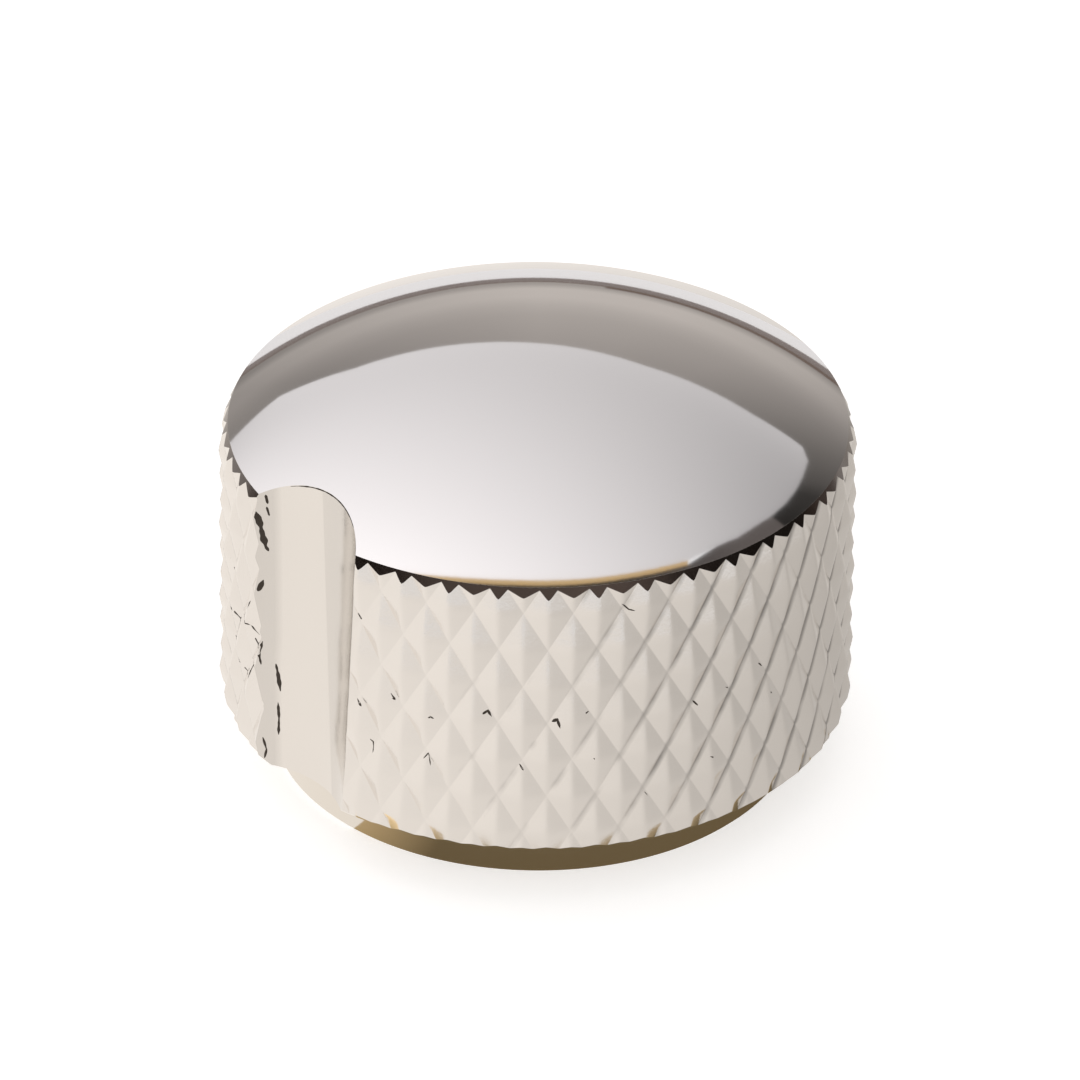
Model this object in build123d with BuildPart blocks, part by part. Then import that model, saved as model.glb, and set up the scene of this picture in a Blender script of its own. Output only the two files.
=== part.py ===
from build123d import *
from math import cos, pi, radians, sin, tan
import os

os.makedirs("parts", exist_ok=True)

# A short control knob for a round shaft: one turned piece with a polished dome, a raised diamond knurl
# and an indicator channel, held on the shaft by a set screw in its side.
# Millimetres, +Z up, origin at the centre of the base. Azimuth 0 is -Y and grows towards +X.

# Turned blank
knob_diameter = 19.05
collar_diameter = 15.75
collar_height = 1.70
knurl_top_height = 10.35
rim_diameter = 18.49
rim_height = 10.91
dome_rise = 2.73
collar_chamfer = 0.15
skirt_chamfer = 0.35

# Diamond knurl: grooves of both hands leave pyramids between them
groove_count = 40
helix_angle = 30.5
groove_depth = 0.25
pyramid_row_height = 10.02
pyramid_row_azimuth = 2.2

# Indicator channel: a round cutter leaning inwards at the top, so that the channel deepens upwards
channel_azimuth = -48.9
channel_cutter_radius = 3.25
channel_depth_at_base = 0.92
channel_depth_at_rim = 1.42
cutter_overrun = 3.0

# Blind bore for the shaft
shaft_diameter = 6.35
bore_clearance = 0.03
bore_depth = 9.0
bore_mouth_chamfer = 0.30

# Set screw, a cup-point grub screw that bears on the shaft, and its hole
screw_azimuth = 132.0
screw_height = 6.0
screw_diameter = 3.0
screw_length = 4.0
screw_side_clearance = 0.05
screw_recess = 1.50
screw_end_chamfer = 0.35
socket_across_flats = 1.5
socket_depth = 1.5
cup_diameter = 1.4
cup_depth = 0.4
cup_side_angle = 30

# Worked out from the sizes above
knob_radius = knob_diameter / 2
collar_radius = collar_diameter / 2
rim_radius = rim_diameter / 2
groove_radius = knob_radius - groove_depth
bore_radius = shaft_diameter / 2 + bore_clearance
screw_radius = screw_diameter / 2
screw_hole_radius = screw_radius + screw_side_clearance
dome_radius = (rim_radius**2 + dome_rise**2) / (2 * dome_rise)
total_height = rim_height + dome_rise


def around(radius, azimuth, height):
    """The point at a radius, an azimuth in degrees and a height."""
    angle = radians(azimuth)
    return Vector(radius * sin(angle), -radius * cos(angle), height)


def outward_plane(radius, azimuth, height):
    """A plane at that point whose z axis points away from the knob's axis."""
    origin = around(radius, azimuth, height)
    outward = around(1, azimuth, 0)
    return Plane(origin=origin, x_dir=outward.cross(Vector(0, 0, 1)), z_dir=outward)


def facet(*corners):
    """A flat face through its corners."""
    return Face(Wire.make_polygon(corners, close=True))


def knurled_bar():
    """A solid bar, longer than the knob, whose whole side is a net of four-sided pyramids.

    Crests and groove crossings take turns around each row, and each row is turned by half a step from
    the one below, so that the grooves between the pyramids run along both hands of the helix.
    """
    step = 360 / groove_count
    row_rise = pi * knob_radius / groove_count / tan(radians(helix_angle))
    rows_below = int(pyramid_row_height / row_rise) + 1
    rows_above = int((total_height - pyramid_row_height) / row_rise) + 1
    crests = []
    crossings = []
    for row in range(-rows_below, rows_above + 1):
        height = pyramid_row_height + row * row_rise
        first = pyramid_row_azimuth + row * step / 2
        azimuths = [first + i * step for i in range(groove_count)]
        crests.append([around(knob_radius, azimuth, height) for azimuth in azimuths])
        crossings.append([around(groove_radius, azimuth + step / 2, height) for azimuth in azimuths])

    faces = []
    for lower in range(len(crests) - 1):
        upper = lower + 1
        for i in range(groove_count):
            left = crossings[lower][i - 1]
            right = crossings[lower][i]
            above = crossings[upper][i - 1]
            faces.append(facet(crests[lower][i], right, above))
            faces.append(facet(crests[lower][i], above, left))
            faces.append(facet(crests[upper][i], above, right))
            faces.append(facet(crests[upper][i], right, crossings[upper][i]))
    for row in (0, -1):
        outline = []
        for crest, crossing in zip(crests[row], crossings[row]):
            outline += [crest, crossing]
        faces.append(facet(*outline))
    return Solid(Shell(faces))


def cutter_centre(depth, height):
    """The centre of the channel's cutter where it leaves that depth."""
    return around(knob_radius - depth + channel_cutter_radius, channel_azimuth, height)


# Knob: the turned blank, then its knurl, its channel, its bore and the hole for the set screw
with BuildPart() as knob_body:
    with BuildSketch(Plane.XZ):
        with BuildLine():
            Polyline(
                (0, 0),
                (collar_radius - collar_chamfer, 0),
                (collar_radius, collar_chamfer),
                (collar_radius, collar_height),
                (knob_radius - skirt_chamfer, collar_height),
                (knob_radius, collar_height + skirt_chamfer),
                (knob_radius, knurl_top_height),
                (rim_radius, rim_height),
            )
            RadiusArc((rim_radius, rim_height), (0, total_height), -dome_radius)
            Line((0, total_height), (0, 0))
        make_face()
    revolve(axis=Axis.Z)
    add(knurled_bar(), mode=Mode.INTERSECT)
    cutter_at_base = cutter_centre(channel_depth_at_base, collar_height)
    cutter_at_rim = cutter_centre(channel_depth_at_rim, rim_height)
    lean = (cutter_at_rim - cutter_at_base).normalized()
    with BuildSketch(Plane(origin=cutter_at_base - lean * cutter_overrun, z_dir=lean)):
        Circle(channel_cutter_radius)
    extrude(amount=total_height + 2 * cutter_overrun, mode=Mode.SUBTRACT)
    with BuildSketch(Plane.XZ):
        with BuildLine():
            Polyline(
                (0, 0),
                (bore_radius + bore_mouth_chamfer, 0),
                (bore_radius, bore_mouth_chamfer),
                (bore_radius, bore_depth),
                (0, bore_depth),
                close=True,
            )
        make_face()
    revolve(axis=Axis.Z, mode=Mode.SUBTRACT)
    with BuildSketch(outward_plane(0, screw_azimuth, screw_height)):
        Circle(screw_hole_radius)
    extrude(amount=knob_radius + cutter_overrun, mode=Mode.SUBTRACT)

# Set screw, sunk below the knurl with its cup point towards the shaft
screw_head_radius = groove_radius - screw_recess
with BuildPart() as set_screw:
    with BuildSketch(outward_plane(screw_head_radius - screw_length, screw_azimuth, screw_height)):
        Circle(screw_radius)
    extrude(amount=screw_length)
    chamfer(set_screw.edges().filter_by(GeomType.CIRCLE), screw_end_chamfer)
    with BuildSketch(outward_plane(screw_head_radius, screw_azimuth, screw_height)):
        RegularPolygon(socket_across_flats / 2, 6, major_radius=False)
    extrude(amount=-socket_depth, mode=Mode.SUBTRACT)
    with BuildSketch(outward_plane(screw_head_radius - screw_length, screw_azimuth, screw_height)):
        Circle(cup_diameter / 2)
    extrude(amount=cup_depth, taper=cup_side_angle, mode=Mode.SUBTRACT)

knob_body.part.label = "knob_body"
set_screw.part.label = "set_screw"
export_step(knob_body.part, "parts/knob_body.step")
export_step(set_screw.part, "parts/set_screw.step")
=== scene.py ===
"""A short dome-top control knob with a diamond knurl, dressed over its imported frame.

The turned body, its knurl, channel and holes are built as one closed mesh that stands for the frame's
plain body. The set screw is built with its thread. Sizes are in millimetres, times MM, in the frame.
"""
from __future__ import annotations

import logging
import math
from dataclasses import dataclass, field
from enum import Enum

import bmesh
import bpy
from mathutils import Matrix, Vector


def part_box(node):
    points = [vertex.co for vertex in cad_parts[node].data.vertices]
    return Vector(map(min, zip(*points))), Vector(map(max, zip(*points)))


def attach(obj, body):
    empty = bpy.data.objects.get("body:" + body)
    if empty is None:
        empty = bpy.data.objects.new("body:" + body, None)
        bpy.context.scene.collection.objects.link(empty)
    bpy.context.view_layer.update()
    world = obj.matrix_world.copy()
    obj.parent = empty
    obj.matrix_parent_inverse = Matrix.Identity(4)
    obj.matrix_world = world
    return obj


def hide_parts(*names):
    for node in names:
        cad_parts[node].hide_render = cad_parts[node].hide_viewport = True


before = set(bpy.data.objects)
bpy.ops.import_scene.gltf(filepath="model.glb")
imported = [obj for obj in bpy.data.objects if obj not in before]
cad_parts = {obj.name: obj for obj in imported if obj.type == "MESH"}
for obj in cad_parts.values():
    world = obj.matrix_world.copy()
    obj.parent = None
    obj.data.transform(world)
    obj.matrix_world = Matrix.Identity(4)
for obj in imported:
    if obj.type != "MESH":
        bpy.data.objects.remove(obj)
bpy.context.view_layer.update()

MM = 0.001
KNOB_RADIUS = 9.525 * MM
# A smaller radius than this lies on the axis
ON_AXIS = 1e-9
LOG = logging.getLogger("knob")


class Region(Enum):
    """The surfaces of the turned body, each with its own finish."""

    DOME = "dome_polish"
    EDGE = "edge_polish"
    # The shoulder's dark finish is a painted reflection of the dark surroundings, on what is nickel
    SHOULDER = "shoulder_shade"
    KNURL = "knurl_nickel"
    CHANNEL = "channel_nickel"
    COLLAR = "collar_nickel"
    BORE = "bore_nickel"


class Cut(Enum):
    """What a cutting tool does to the piece it meets."""

    REMOVE = "DIFFERENCE"
    KEEP_COMMON = "INTERSECT"


# Radius, height and the region of the stretch that starts there
Profile = list[tuple[float, float, Region]]


class Value:
    """A socket whose arithmetic adds Math nodes to its tree."""

    def __init__(self, graph: Graph, socket: bpy.types.NodeSocket) -> None:
        """Keeps the socket and the graph that it belongs to."""
        self.graph = graph
        self.socket = socket

    def math(self, operation: str, *others: Value | float, first: Value | float | None = None) -> Value:
        """Adds one Math node.

        Args:
            operation: the node's operation.
            others: the operands after this value.
            first: an operand that comes before this value, for the reflected forms.

        Returns:
            The node's result.
        """
        operands = [self, *others] if first is None else [first, self]
        return self.graph.node("ShaderNodeMath", {"operation": operation}, dict(enumerate(operands)))

    def __add__(self, other: Value | float) -> Value:
        """This value plus another."""
        return self.math("ADD", other)

    def __radd__(self, other: float) -> Value:
        """A number plus this value."""
        return self.math("ADD", other)

    def __sub__(self, other: Value | float) -> Value:
        """This value less another."""
        return self.math("SUBTRACT", other)

    def __rsub__(self, other: float) -> Value:
        """A number less this value."""
        return self.math("SUBTRACT", first=other)

    def __mul__(self, other: Value | float) -> Value:
        """This value times another."""
        return self.math("MULTIPLY", other)

    def __rmul__(self, other: float) -> Value:
        """A number times this value."""
        return self.math("MULTIPLY", other)

    def __truediv__(self, other: Value | float) -> Value:
        """This value divided by another."""
        return self.math("DIVIDE", other)

    def __rtruediv__(self, other: float) -> Value:
        """A number divided by this value."""
        return self.math("DIVIDE", first=other)


class Graph:
    """A node tree that hands its nodes out as values."""

    def __init__(self, tree: bpy.types.NodeTree) -> None:
        """Keeps the tree."""
        self.tree = tree

    def node(self, kind: str, settings: dict | None = None, inputs: dict | None = None,
             output: int | str = 0) -> Value:
        """Adds a node, sets it up and joins its sockets.

        Args:
            kind: the node's type.
            settings: attributes set first; the key stops gives a colour ramp its stops.
            inputs: values or links, by the socket's name or number.
            output: the name or number of the output to return.

        Returns:
            The chosen output.
        """
        made = self.tree.nodes.new(kind)
        for name, setting in (settings or {}).items():
            if name == "stops":
                ramp = made.color_ramp.elements
                while len(ramp) < len(setting):
                    ramp.new(0.5)
                for element, (place, colour) in zip(ramp, setting):
                    element.position = place
                    element.color = colour
            else:
                setattr(made, name, setting)
        for name, given in (inputs or {}).items():
            if isinstance(given, Value):
                self.tree.links.new(given.socket, made.inputs[name])
            elif given is not None:
                made.inputs[name].default_value = given
        return Value(self, made.outputs[output]) if made.outputs else Value(self, made.inputs[0])

    def axis(self, place: Value, name: str) -> Value:
        """One coordinate of a place, X, Y or Z."""
        return self.node("ShaderNodeSeparateXYZ", {}, {0: place}, name)

    def noise(self, place: Value, size: Value | float, detail: float, roughness: float = 0.5) -> Value:
        """A smooth noise, about a half on average, of that cloud size and with finer layers in it."""
        return self.node("ShaderNodeTexNoise", {}, {
            "Vector": place, "Scale": 1.0 / size, "Detail": detail, "Roughness": roughness}, "Fac")

    def remap(self, value: Value, low: float, high: float, at_low: Value | float,
              at_high: Value | float) -> Value:
        """A value taken from the range low to high to another range, and held at its ends."""
        return self.node("ShaderNodeMapRange", {}, {
            "Value": value, "From Min": low, "From Max": high, "To Min": at_low, "To Max": at_high})

    def mix(self, blend: str, factor: Value | float, first: Value | tuple, second: Value | tuple) -> Value:
        """Two colours, blended in a named way."""
        return self.node("ShaderNodeMix", {"data_type": "RGBA", "blend_type": blend}, {
            0: factor, 6: first, 7: second}, 2)

    def grey(self, level: Value) -> Value:
        """A grey of that level."""
        return self.node("ShaderNodeCombineColor", {}, {0: level, 1: level, 2: level})


def rgba(red: float, green: float, blue: float) -> tuple[float, float, float, float]:
    """A solid colour."""
    return (red, green, blue, 1.0)


def around(radius: float, azimuth: float, height: float) -> Vector:
    """The point at a radius, an azimuth in degrees from -Y towards +X, and a height."""
    angle = math.radians(azimuth)
    return Vector((radius * math.sin(angle), -radius * math.cos(angle), height))


def new_material(name: str) -> tuple[bpy.types.Material, Graph]:
    """Starts a material.

    Args:
        name: the material's name.

    Returns:
        The material and its graph, which is empty.
    """
    material = bpy.data.materials.new(name)
    material.use_nodes = True
    material.node_tree.nodes.clear()
    return material, Graph(material.node_tree)


@dataclass(frozen=True)
class Nickel:
    """Nickel plate, polished or satin, with a faint waviness and uneven gloss."""

    name: str
    colour: tuple[float, float, float]
    roughness: float
    roughness_spread: float
    grain_size: float
    grain_depth: float
    tone_spread: float = 0.03
    grains_per_cloud: float = 9.0

    def shade(self, graph: Graph, place: Value, cloud: Value) -> Value | None:
        """How much a place is darkened, as a factor; plain nickel isn't."""
        return None

    def build(self) -> bpy.types.Material:
        """Makes the material.

        Returns:
            A metallic material whose colour, roughness and bump vary over the surface.
        """
        material, graph = new_material(self.name)
        place = graph.node("ShaderNodeTexCoord", output="Object")
        grain = graph.noise(place, self.grain_size, 4.0, 0.6)
        cloud = graph.noise(place, self.grains_per_cloud * self.grain_size, 2.0)
        darker = rgba(*[c * (1 - self.tone_spread) for c in self.colour])
        tone = graph.mix("MIX", cloud, darker, rgba(*self.colour))
        factor = self.shade(graph, place, cloud)
        if factor is not None:
            tone = graph.mix("MULTIPLY", 1.0, tone, graph.grey(factor))
        gloss = self.roughness + (grain - 0.5) * self.roughness_spread
        bump = graph.node("ShaderNodeBump", {}, {
            "Strength": 1.0, "Distance": self.grain_depth, "Height": grain})
        surface = graph.node("ShaderNodeBsdfPrincipled", {}, {
            "Base Color": tone, "Metallic": 1.0, "Roughness": gloss, "Normal": bump})
        graph.node("ShaderNodeOutputMaterial", {}, {"Surface": surface})
        return material


@dataclass(frozen=True)
class ChannelNickel(Nickel):
    """The channel's nickel, with a painted reflection that darkens its right wall, and a burr along its left
    border.
    """

    wall_x: float = -6.33 * MM
    wall_blend: float = 0.05 * MM
    wall_height: float = 11 * MM
    wall_lean: float = 0.030
    wall_painted_reflection: float = 0.90
    burr_from: float = -7.76 * MM
    burr_to: float = -7.50 * MM
    burr_waver: float = 0.3 * MM
    burr_tone: float = 0.86

    def shade(self, graph: Graph, place: Value, cloud: Value) -> Value | None:
        """Steps down past the wall's foot, as a painted reflection, and fades towards the burr.

        Args:
            graph: the material's graph.
            place: the object coordinates.
            cloud: a slow noise.

        Returns:
            The factor.
        """
        across = graph.axis(place, "X")
        foot = across + (graph.axis(place, "Z") - self.wall_height) * self.wall_lean
        # Painted reflection: a darker band on the right wall, past its foot
        wall = graph.remap(foot, self.wall_x, self.wall_x + self.wall_blend, 1.0, self.wall_painted_reflection)
        border = across + (cloud - 0.5) * self.burr_waver
        return wall * graph.remap(border, self.burr_from, self.burr_to, self.burr_tone, 1.0)


@dataclass(frozen=True)
class DarkSteel:
    """Blackened steel, as on a set screw, or the dark inside of a crack."""

    name: str
    colour: tuple[float, float, float]
    metallic: float
    roughness: float
    roughness_spread: float = 0.2
    mottle: float = 0.4
    grain_size: float = 0.12 * MM

    def build(self) -> bpy.types.Material:
        """Makes the material.

        Returns:
            A dark material with a mottled tone.
        """
        material, graph = new_material(self.name)
        place = graph.node("ShaderNodeTexCoord", output="Object")
        grain = graph.noise(place, self.grain_size, 3.0)
        darker = rgba(*[c * (1 - self.mottle) for c in self.colour])
        lighter = rgba(*[c * (1 + self.mottle) for c in self.colour])
        surface = graph.node("ShaderNodeBsdfPrincipled", {}, {
            "Base Color": graph.mix("MIX", grain, darker, lighter), "Metallic": self.metallic,
            "Roughness": self.roughness + (grain - 0.5) * self.roughness_spread})
        graph.node("ShaderNodeOutputMaterial", {}, {"Surface": surface})
        return material


@dataclass(frozen=True)
class Glow:
    """A studio surface that sends out an even light of its own."""

    name: str
    colour: tuple[float, float, float]

    def light(self, graph: Graph) -> Value | tuple[float, float, float, float]:
        """The colour of its light, the same all over."""
        return rgba(*self.colour)

    def build(self) -> bpy.types.Material:
        """Makes the material.

        Returns:
            An emitting material.
        """
        material, graph = new_material(self.name)
        surface = graph.node("ShaderNodeEmission", {}, {"Color": self.light(graph)})
        graph.node("ShaderNodeOutputMaterial", {}, {"Surface": surface})
        return material


@dataclass(frozen=True)
class ShapedGlow(Glow):
    """A studio surface whose light differs from place to place."""

    faintest: float = 0.02

    def level(self, graph: Graph, across: Value, away: Value, high: Value) -> Value:
        """How bright the surface is at a place, given by its X, Y and Z."""
        raise NotImplementedError

    def light(self, graph: Graph) -> Value:
        """The colour of its light, which follows the level.

        Args:
            graph: the material's graph.

        Returns:
            The colour.
        """
        place = graph.node("ShaderNodeTexCoord", output="Object")
        level = self.level(graph, *[graph.axis(place, name) for name in "XYZ"])
        return graph.node("ShaderNodeVectorMath", {"operation": "SCALE"}, {
            0: self.colour, "Scale": level.math("MAXIMUM", self.faintest)})


@dataclass(frozen=True)
class SoftboxLight(ShapedGlow):
    """The softbox's diffuser, brightest near its left front corner."""

    name: str = "softbox_light"
    colour: tuple[float, float, float] = (1.0, 0.97, 0.965)
    centre: float = 0.93
    rightwards: float = -1.60
    farther: float = -1.35
    far_bend: float = 1.95
    twist: float = 2.95
    brightest: float = 1.3

    def level(self, graph: Graph, across: Value, away: Value, high: Value) -> Value:
        """Fades by metre, to the right and with distance, and levels out in the far corner.

        Args:
            graph: the material's graph; not used.
            across: the place's X.
            away: the place's Y.
            high: the place's Z; not used.

        Returns:
            The level.
        """
        fall = self.centre + across * self.rightwards + away * self.farther
        fall = fall + away * away * self.far_bend + across * away * self.twist
        return fall.math("MINIMUM", self.brightest)


@dataclass(frozen=True)
class RoomTone(ShapedGlow):
    """The room beyond the floor, lightest behind the knob a little above the horizon."""

    name: str = "room_tone"
    colour: tuple[float, float, float] = (0.57, 0.525, 0.485)
    distance: float = 900 * MM
    half_sweep: float = math.radians(60)
    up_steps: tuple[tuple[float, float], ...] = (
        (0.0, 0.68), (0.035, 0.68), (0.09, 1.0), (0.18, 1.0), (0.27, 0.87), (0.36, 0.78), (0.55, 0.70),
        (1.0, 0.5))
    round_steps: tuple[tuple[float, float], ...] = (
        (0.0, 0.45), (0.29, 0.58), (0.34, 0.70), (0.42, 0.86), (0.50, 1.0), (0.58, 0.97), (0.67, 0.84),
        (0.75, 0.62), (0.83, 0.38), (0.89, 0.24), (0.92, 0.12), (1.0, 0.08))

    def level(self, graph: Graph, across: Value, away: Value, high: Value) -> Value:
        """Multiplies a profile upwards by a profile round the knob.

        Args:
            graph: the material's graph.
            across: the place's X.
            away: the place's Y.
            high: the place's Z.

        Returns:
            The level.
        """
        turn = across.math("ARCTAN2", away) / (2 * self.half_sweep) + 0.5
        levels = []
        for place, steps in ((high / self.distance, self.up_steps), (turn, self.round_steps)):
            stops = [(at, rgba(tone, tone, tone)) for at, tone in steps]
            ramp = graph.node("ShaderNodeValToRGB", {"stops": stops}, {"Fac": place}, "Color")
            levels.append(graph.node("ShaderNodeSeparateColor", {}, {0: ramp}, 0))
        return levels[0] * levels[1]


@dataclass(frozen=True)
class FloorSheen(ShapedGlow):
    """What the metal sees of the floor by the knob, lighter on the left and behind."""

    name: str = "floor_sheen"
    colour: tuple[float, float, float] = (1.0, 0.945, 0.885)
    reach: float = 60 * MM
    middle: float = 0.72
    leftwards: float = 0.20
    forwards: float = 0.09
    behind: float = 0.13

    def level(self, graph: Graph, across: Value, away: Value, high: Value) -> Value:
        """Darkens towards the right and lightens towards the left, the front and the back.

        Args:
            graph: the material's graph; not used.
            across: the place's X.
            away: the place's Y.
            high: the place's Z; not used.

        Returns:
            The level.
        """
        out = (across * across + away * away).math("SQRT")
        side = across / out * -self.leftwards
        front = away.math("MINIMUM", 0.0) / out * -self.forwards
        back = away.math("MAXIMUM", 0.0) / out * self.behind
        return side + front + back + self.middle


@dataclass(frozen=True)
class FloorShade(ShapedGlow):
    """The shaded floor round the collar, golden where the skirt ends."""

    name: str = "floor_shade"
    colour: tuple[float, float, float] = (1.0, 0.74, 0.40)
    reach: float = 10.2 * MM
    dark: float = 0.155
    gold_from: float = 9.5 * MM
    gold: float = 0.42
    left_full: float = -0.69
    left_from: float = -0.40
    left_lift: float = 3.2

    def level(self, graph: Graph, across: Value, away: Value, high: Value) -> Value:
        """Rises towards the skirt's edge and to the left.

        Args:
            graph: the material's graph.
            across: the place's X.
            away: the place's Y.
            high: the place's Z; not used.

        Returns:
            The level.
        """
        out = (across * across + away * away).math("SQRT")
        left = graph.remap(across / out, self.left_full, self.left_from, self.left_lift, 1.0)
        return left * graph.remap(out, self.gold_from, self.reach, self.dark, self.gold)


@dataclass(frozen=True)
class CeilingShade(ShapedGlow):
    """The room above and behind the camera, dark by the softbox, lighter on the right and further off."""

    name: str = "ceiling_shade"
    colour: tuple[float, float, float] = (1.0, 0.87, 0.81)
    dark: float = 0.035
    right_from: float = 90 * MM
    right_to: float = 210 * MM
    right_tone: float = 0.12
    near_from: float = -130 * MM
    near_to: float = -420 * MM
    near_lift: float = 0.42

    def level(self, graph: Graph, across: Value, away: Value, high: Value) -> Value:
        """Rises to the right and towards the camera."""
        right = graph.remap(across, self.right_from, self.right_to, self.dark, self.right_tone)
        return right + graph.remap(away, self.near_from, self.near_to, 0.0, self.near_lift)


@dataclass(frozen=True)
class PaleFloor:
    """A pale floor that keeps the shadow and shows near white to the camera and in reflections."""

    name: str = "pale_floor"
    colour: tuple[float, float, float] = (0.90, 0.885, 0.875)
    lift: float = 0.60
    sheen_lift: float = 0.24

    def build(self) -> bpy.types.Material:
        """Makes the material.

        Returns:
            A matt material with added light on camera rays, and a little on glossy and transmission rays.
        """
        material, graph = new_material(self.name)
        matt = graph.node("ShaderNodeBsdfDiffuse", {}, {"Color": rgba(*self.colour)})
        rays = [graph.node("ShaderNodeLightPath", output=ray) for ray in
                ("Is Camera Ray", "Is Glossy Ray", "Is Transmission Ray")]
        seen = rays[0] * self.lift + rays[1].math("MAXIMUM", rays[2]) * self.sheen_lift
        glow = graph.node("ShaderNodeEmission", {}, {"Color": graph.grey(seen)})
        both = graph.node("ShaderNodeAddShader", {}, {0: matt, 1: glow})
        graph.node("ShaderNodeOutputMaterial", {}, {"Surface": both})
        return material


def link_mesh(name: str, mesh: bpy.types.Mesh, *materials: bpy.types.Material) -> bpy.types.Object:
    """Puts a mesh in the scene.

    Args:
        name: the new object's name.
        mesh: its mesh.
        materials: its materials, in order.

    Returns:
        The object, at the origin.
    """
    made = bpy.data.objects.new(name, mesh)
    for material in materials:
        mesh.materials.append(material)
    bpy.context.scene.collection.objects.link(made)
    return made


def baked_mesh(piece: bpy.types.Object) -> bpy.types.Mesh:
    """The plain mesh that a piece's modifiers make of it.

    Args:
        piece: the piece.

    Returns:
        A new mesh.
    """
    graph = bpy.context.evaluated_depsgraph_get()
    graph.update()
    return bpy.data.meshes.new_from_object(piece.evaluated_get(graph), preserve_all_data_layers=True,
                                           depsgraph=graph)


def cut(piece: bpy.types.Object, tool: bpy.types.Object, how: Cut) -> None:
    """Cuts a piece with a tool, keeps the finishes of both and takes the tool away.

    Args:
        piece: the piece, whose mesh is changed.
        tool: a closed mesh.
        how: whether the tool's space is removed, or only the common space is kept.
    """
    modifier = piece.modifiers.new("cut", "BOOLEAN")
    modifier.operation = how.value
    modifier.solver = "MANIFOLD"
    modifier.material_mode = "TRANSFER"
    modifier.object = tool
    result = baked_mesh(piece)
    piece.modifiers.remove(modifier)
    old = piece.data
    piece.data = result
    bpy.data.meshes.remove(old)
    bpy.data.objects.remove(tool)


def face_outwards(shape: bmesh.types.BMesh) -> None:
    """Turns a closed shape's faces outwards.

    Args:
        shape: the shape, which is changed.
    """
    bmesh.ops.recalc_face_normals(shape, faces=shape.faces)
    if shape.calc_volume(signed=True) < 0:
        bmesh.ops.reverse_faces(shape, faces=shape.faces)


def closed_mesh(name: str, shape: bmesh.types.BMesh) -> bpy.types.Mesh:
    """Makes a mesh of a closed shape.

    Args:
        name: the mesh's name.
        shape: the shape, which is freed.

    Returns:
        The mesh, with its faces outwards.
    """
    face_outwards(shape)
    mesh = bpy.data.meshes.new(name)
    shape.to_mesh(mesh)
    shape.free()
    return mesh


def revolved(profile: Profile, segments: int, regions: list[Region]) -> bpy.types.Mesh:
    """Turns a profile about the Z axis into a closed mesh.

    Args:
        profile: the half section, which starts and ends on the axis.
        segments: how many steps go round.
        regions: the order of the material slots.

    Returns:
        The mesh, with its faces outwards.
    """
    shape = bmesh.new()
    rings = []
    for radius, height, _ in profile:
        count = segments if radius > ON_AXIS else 1
        rings.append([shape.verts.new(around(radius, 360 * i / segments, height)) for i in range(count)])
    for (_, _, region), low, high in zip(profile, rings, rings[1:]):
        for i in range(segments):
            j = (i + 1) % segments
            corners = [low[i % len(low)], low[j % len(low)], high[j % len(high)], high[i % len(high)]]
            face = shape.faces.new(list(dict.fromkeys(corners)))
            face.material_index = regions.index(region)
    return closed_mesh("turned", shape)


def round_bar(start: Vector, end: Vector, radius: float, segments: int) -> bpy.types.Mesh:
    """A closed round bar.

    Args:
        start: the middle of one end.
        end: the middle of the other.
        radius: the bar's radius.
        segments: how many steps go round.

    Returns:
        The mesh, with its faces outwards.
    """
    shape = bmesh.new()
    along = end - start
    turn = along.to_track_quat("Z", "Y").to_matrix().to_4x4()
    bmesh.ops.create_cone(shape, cap_ends=True, segments=segments, radius1=radius, radius2=radius,
                          depth=along.length, matrix=Matrix.Translation((start + end) / 2) @ turn)
    return closed_mesh("bar", shape)


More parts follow.
